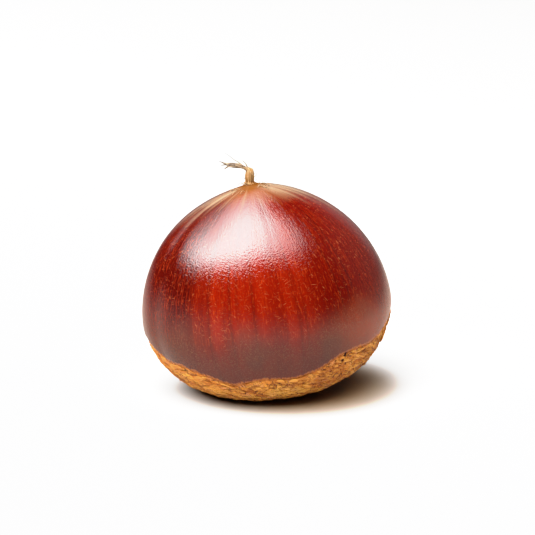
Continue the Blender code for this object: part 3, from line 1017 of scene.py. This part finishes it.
def scar_finish():
    """Matt golden ochre in thin flakes, with short brown cracks between them, painted shade in its
    hollows and its slit, and a golden patch of painted light.
    """
    coat = Finish("base_scar")
    place = coat.place()
    _, (down, raised, cut) = coat.attribute("zone")
    tilted = coat.node("ShaderNodeVectorRotate", {"rotation_type": "Y_AXIS"},
                       {"Vector": place, "Angle": SCAR_SLANT}).outputs[0]
    bend = coat.node("ShaderNodeTexNoise", None,
                     {"Vector": coat.stretched(place, (1.2 * MM,) * 3), "Scale": 1.0})
    bent = coat.node("ShaderNodeVectorMath", {"operation": "MULTIPLY_ADD"},
                     {0: bend.outputs["Color"], 1: (1.6 * MM,) * 3, 2: tilted}).outputs[0]
    flakes = {"Vector": coat.stretched(bent, (1.7 * MM, 0.9 * MM, 0.60 * MM)), "Scale": 1.0}
    gap = coat.number("ShaderNodeTexVoronoi", {"feature": "DISTANCE_TO_EDGE"}, flakes)
    tints = coat.axes(coat.node("ShaderNodeTexVoronoi", None, flakes).outputs["Color"])
    fibres = coat.noise(bent, (0.9 * MM, 0.16 * MM, 0.13 * MM), 2.0)
    mottle = coat.noise(place, (1.8 * MM, 1.8 * MM, 1.1 * MM), 2.0)
    open_gap = coat.noise(place, (1.1 * MM,) * 3, 1.0).ramp(0.44, 0.60)
    ochre = coat.mix(mottle.ramp(0.35, 0.65), OCHRE, PALE_OCHRE)
    ochre = coat.mix(tints[0].ramp(0.45, 1.0) * 0.6, ochre, SCAR_YELLOW)
    ochre = coat.mix(tints[1].ramp(0.70, 1.0) * 0.5, ochre, SCAR_PINK)
    ochre = patched(coat, place, ochre, 0.4)
    ochre = coat.mix(fibres.ramp(0.48, 0.30) * 0.5, ochre, SCAR_FIBRE)
    # Painted shade: darker in the hollows of the scar's relief
    ochre = coat.mix(raised.ramp(-0.06, -0.17) * 0.7, ochre, SCAR_HOLLOW_PAINTED_SHADE)
    crack = gap.ramp(0.085, 0.025) * open_gap
    ochre = coat.mix(crack * 0.95, ochre, SCAR_CRACK)
    ochre = coat.mix(down.ramp(0.30, 0.0) * 0.7, ochre, SCAR_EDGE)
    # Painted shade: nearly black down the slit
    ochre = coat.mix(cut.ramp(0.15, 0.45), ochre, SCAR_SLIT_PAINTED_SHADE)
    normal = coat.bump(fibres, 0.06 * MM)
    normal = coat.bump(gap.ramp(0.0, 0.25) + tints[2] * 0.6, 0.14 * MM, normal)
    return coat.finish(Base_Color=ochre, Roughness=0.7, Normal=normal, IOR=1.3)


# The dry tuft's colours and the pale hairs'
TUFT_STRAW = (0.28, 0.140, 0.036)
TUFT_TAN = (0.165, 0.125, 0.080)
TUFT_DARK = (0.040, 0.020, 0.010)
HAIR_PALE = (0.22, 0.17, 0.10)
HAIR_GREY = (0.10, 0.09, 0.08)


def dry_finish(name, root, end, spot):
    """Dry plant fibre, from one colour at the root to another at the end, with dark spots."""
    coat = Finish(name)
    _, (share, _, _) = coat.attribute("zone")
    fibre = coat.noise(coat.place(), (0.5 * MM, 0.12 * MM, 0.12 * MM), 2.0)
    spots = coat.noise(coat.place(), (0.5 * MM,) * 3, 1.0)
    color = coat.mix(share, root, end)
    color = coat.mix(fibre.ramp(0.35, 0.65) * 0.4, color, spot)
    spotted = spots.ramp(0.50, 0.60) * share.ramp(0.25, 0.45)
    color = coat.mix(spotted * 0.85, color, spot)
    normal = coat.bump(fibre, 0.05 * MM)
    return coat.finish(Base_Color=color, Roughness=0.75, Normal=normal)


def dress(piece, finish):
    """Gives a piece its material, attaches it to the root body and hides the imported chestnut part."""
    piece.data.materials.clear()
    piece.data.materials.append(finish)
    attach(piece, "root")
    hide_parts("chestnut")


# The floor's colours: as the camera sees it, plain and with the warm shade painted under the nut; as
# the shell mirrors it, in front, at the sides and far off; and as it lights the nut
FLOOR_SEEN = (0.360, 0.358, 0.355)
FLOOR_PAINTED_SHADE = (0.180, 0.130, 0.085)
FLOOR_PAINTED_DEEP_SHADE = (0.150, 0.085, 0.035)
FLOOR_MIRRORED = (0.158, 0.149, 0.142)
FLOOR_MIRRORED_SIDES = (0.22, 0.165, 0.135)
FLOOR_MIRRORED_FAR = (0.070, 0.055, 0.050)
FLOOR_LIGHTING = (0.37, 0.36, 0.35)
FLOOR_HALF_WIDTH = 3.0

# The painted shade's middle and radii, and the squared shares of them over which each painted shade comes
# in
SHADE_CENTRE = (3.5 * MM, 1.5 * MM)
SHADE_RADII = (16.5 * MM, 14.0 * MM)
SHADE_START = (1.15, 0.45)
DEEP_SHADE_START = (0.55, 0.25)

# From where to where the mirrored floor changes to its sides and to what is far off
SIDES_START = (12 * MM, 30 * MM)
FAR_START = (50 * MM, 160 * MM)


def make_floor():
    """A pale floor with a warm shade painted under the nut, which the camera, the shell's mirror and the
    nut's light each meet.
    """
    mesh = bpy.data.meshes.new("floor")
    corners = [(x * FLOOR_HALF_WIDTH, y * FLOOR_HALF_WIDTH, 0)
               for x, y in ((-1, -1), (1, -1), (1, 1), (-1, 1))]
    mesh.from_pydata(corners, [], [(0, 1, 2, 3)])
    floor = in_scene("floor", mesh)
    coat = Finish("floor")
    place = coat.place()
    across, behind = coat.axes(place, "XY")
    far = coat.number("ShaderNodeVectorMath", {"operation": "LENGTH"}, {0: place}, "Value")
    ring = (((across - SHADE_CENTRE[0]) / SHADE_RADII[0]) ** 2.0
            + ((behind - SHADE_CENTRE[1]) / SHADE_RADII[1]) ** 2.0)
    # Painted shade: a warm shadow on the floor under and right of the nut, deeper at its middle
    shade = coat.mix(ring.ramp(*SHADE_START), FLOOR_SEEN, FLOOR_PAINTED_SHADE)
    shade = coat.mix(ring.ramp(*DEEP_SHADE_START), shade, FLOOR_PAINTED_DEEP_SHADE)
    side = across.math("ABSOLUTE").ramp(*SIDES_START)
    mirrored = coat.mix(side, FLOOR_MIRRORED, FLOOR_MIRRORED_SIDES)
    mirrored = coat.mix(far.ramp(*FAR_START), mirrored, FLOOR_MIRRORED_FAR)
    path = coat.node("ShaderNodeLightPath").outputs
    mirrored = coat.mix(path["Is Diffuse Ray"], mirrored, FLOOR_LIGHTING)
    shade = coat.mix(path["Is Camera Ray"], mirrored, shade)
    mesh.materials.append(coat.finish(Base_Color=shade, Roughness=1.0))


def make_light(name, place, size, brightness, aim, color):
    """A soft rectangular light of the given brightness, facing a point."""
    light = bpy.data.lights.new(name, "AREA")
    light.shape = "RECTANGLE"
    light.size, light.size_y = size
    light.energy = brightness * math.pi * size[0] * size[1]
    light.color = color
    lamp = in_scene(name, light)
    lamp.location = place
    lamp.rotation_euler = (Vector(aim) - lamp.location).to_track_quat("-Z", "Y").to_euler()
    lamp.visible_camera = False


def make_softbox():
    """A flat panel of light overhead, dimmer towards its left, right and back ends."""
    mesh = bpy.data.meshes.new("softbox")
    corners = [(x * SOFTBOX_HEIGHT, y * SOFTBOX_HEIGHT, SOFTBOX_HEIGHT) for x, y in SOFTBOX_CORNERS]
    mesh.from_pydata(corners, [], [tuple(range(len(corners)))])
    softbox = in_scene("softbox", mesh)
    softbox.visible_camera = False
    coat = Finish("softbox")
    across, back = [share / SOFTBOX_HEIGHT for share in coat.axes(coat.place(), "XY")]
    left = coat.mix(across.ramp(*SOFTBOX_FROM_LEFT), (SOFTBOX_LEFT,) * 3, (1.0, 1.0, 1.0))
    beside = across - SOFTBOX_RIDGE
    left_slope, more_right = SOFTBOX_SLOPES
    sooner = beside.math("MAXIMUM", SOFTBOX_SLOPE_END) * left_slope
    sooner = sooner + beside.math("MAXIMUM", 0.0) * more_right
    right = coat.mix(across.ramp(*SOFTBOX_FROM_RIGHT), (SOFTBOX_RIGHT,) * 3, left)
    bright = coat.mix((back + sooner).ramp(*SOFTBOX_FROM_BACK), (SOFTBOX_BACK,) * 3, right)
    mesh.materials.append(coat.finish(Base_Color=(0.0, 0.0, 0.0, 1.0), Roughness=1.0,
                                      Emission_Color=bright, Emission_Strength=SOFTBOX_RADIANCE))


def make_lights():
    """Two dim walls of light: one behind, and a warm one to the right."""
    for name, wall in LIGHT_WALLS.items():
        make_light(name, *wall)


def make_world():
    """Dark round the nut, so that only the lights show in the shell, but pale to the camera."""
    world = bpy.data.worlds.new("studio")
    world.use_nodes = True
    tree = world.node_tree
    dark = tree.nodes["Background"]
    dark.inputs["Color"].default_value = (*(WORLD_DARK,) * 3, 1.0)
    pale = tree.nodes.new("ShaderNodeBackground")
    pale.inputs["Color"].default_value = (*(WORLD_PALE,) * 3, 1.0)
    seen = tree.nodes.new("ShaderNodeLightPath")
    either = tree.nodes.new("ShaderNodeMixShader")
    tree.links.new(seen.outputs["Is Camera Ray"], either.inputs[0])
    tree.links.new(dark.outputs[0], either.inputs[1])
    tree.links.new(pale.outputs[0], either.inputs[2])
    tree.links.new(either.outputs[0], tree.nodes["World Output"].inputs[0])
    bpy.context.scene.world = world


def make_camera():
    """The photograph's view: from the front, a little above, through a long lens."""
    lens = bpy.data.cameras.new("camera")
    lens.sensor_width = SENSOR_WIDTH
    lens.lens = FOCAL_PIXELS / FRAME_WIDTH * SENSOR_WIDTH
    lens.clip_start = 0.01
    ahead = Vector((0, math.cos(CAMERA_ELEVATION), -math.sin(CAMERA_ELEVATION)))
    right = Vector((1, 0, 0))
    up = right.cross(ahead)
    pixel = CAMERA_DISTANCE / FOCAL_PIXELS
    aim = (CENTRE + up * (CENTRE_PIXEL[1] - FRAME_WIDTH / 2) * pixel
           - right * (CENTRE_PIXEL[0] - FRAME_WIDTH / 2) * pixel)
    camera = in_scene("camera", lens)
    camera.location = aim - ahead * CAMERA_DISTANCE
    camera.rotation_euler = ahead.to_track_quat("-Z", "Y").to_euler()
    bpy.context.scene.camera = camera


def soften_bright_end():
    """The photograph's tones: straight up to its light greys, then bending over towards white."""
    view = bpy.context.scene.view_settings
    view.view_transform = "Standard"
    view.use_curve_mapping = True
    tones = view.curve_mapping
    tones.white_level = (BRIGHTEST,) * 3
    curve = tones.curves[3]
    for bright, shown in TONE_CURVE:
        curve.points.new(bright / BRIGHTEST, shown)
    for point in curve.points[:3]:
        point.handle_type = "VECTOR"
    tones.update()


def main():
    make_camera()
    make_floor()
    make_softbox()
    make_lights()
    make_world()
    soften_bright_end()
    shell, scar = make_shell(), make_scar()
    dress(shell, shell_finish())
    dress(scar, scar_finish())
    flaked, bristled = flake_finish(), bristle_finish()
    dress(make_flakes(scar, flaked), flaked)
    dress(make_bristles(shell, bristled), bristled)
    dress(make_tuft(), dry_finish("dry_tuft", TUFT_STRAW, TUFT_TAN, TUFT_DARK))
    dress(make_hairs(), dry_finish("pale_hairs", HAIR_PALE, HAIR_GREY, TUFT_TAN))


main()
